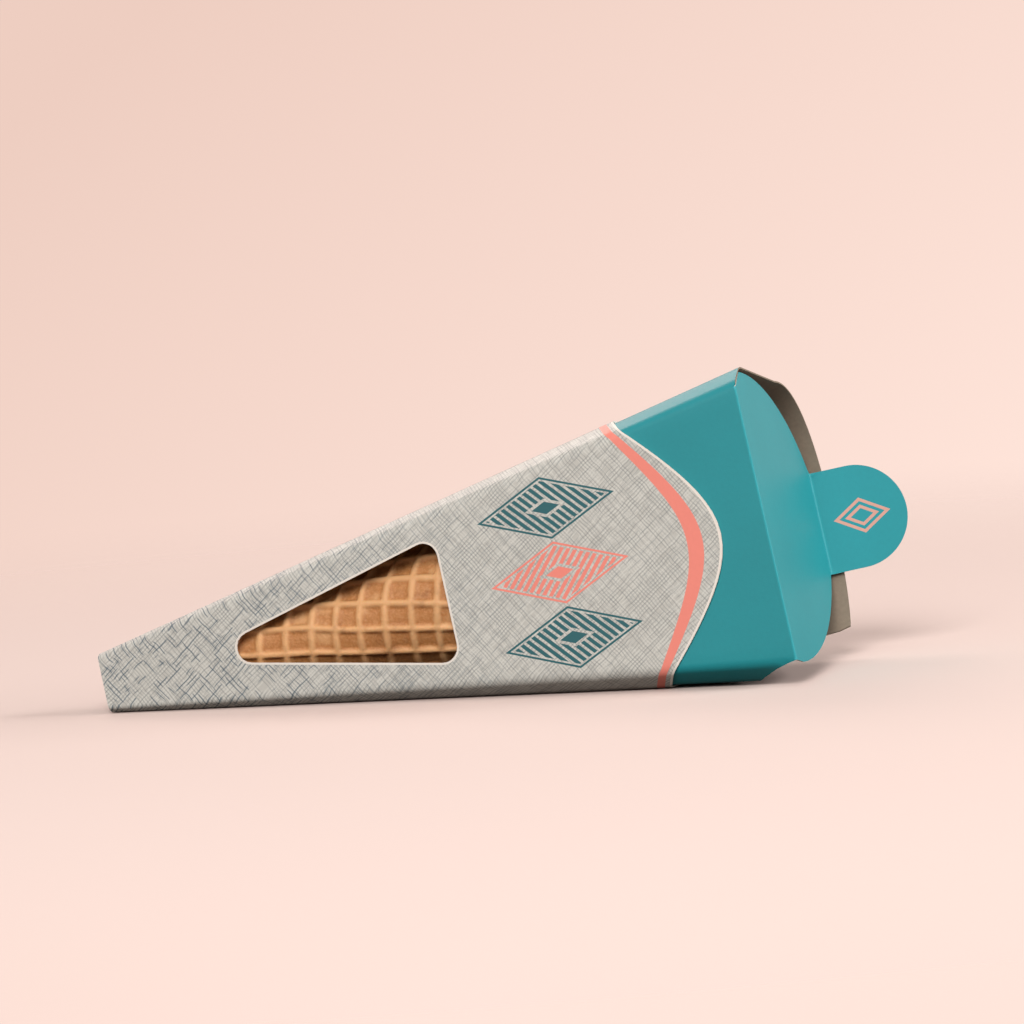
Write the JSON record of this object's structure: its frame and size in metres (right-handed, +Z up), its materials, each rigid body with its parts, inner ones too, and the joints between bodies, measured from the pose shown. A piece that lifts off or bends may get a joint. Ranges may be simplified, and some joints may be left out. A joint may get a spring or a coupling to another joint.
{
  "type": "ice cream cone carton",
  "caption": "Tapered board carton for one waffle cone, with a flat windowed front, rounded back, printed sleeve and a D-shaped hinged lid with a pull tab, lying on its side.",
  "frame": {"origin": "centre of the bounding box, at the surface that the pack lies on", "axes": "+X from the narrow end towards the mouth, -Y out of the front panel, +Z up"},
  "size_m": [0.226, 0.0804, 0.0885],
  "materials": {
    "carton_board": "satin",
    "lid_board": "satin",
    "sleeve_board": "matte",
    "wafer": "matte"
  },
  "bodies": {
    "pack": {"carton": "carton_board", "sleeve": "sleeve_board", "waffle_cone": "wafer"},
    "lid": {"lid": "lid_board"}
  },
  "joints": [
    {"name": "lid_hinge", "type": "hinge", "parent": "pack", "child": "lid", "pos_m": [0.08857, -0.03609, 0.04549], "axis": [0.1791, -0.0995, -0.9788], "range_deg": [0, 115]}
  ]
}
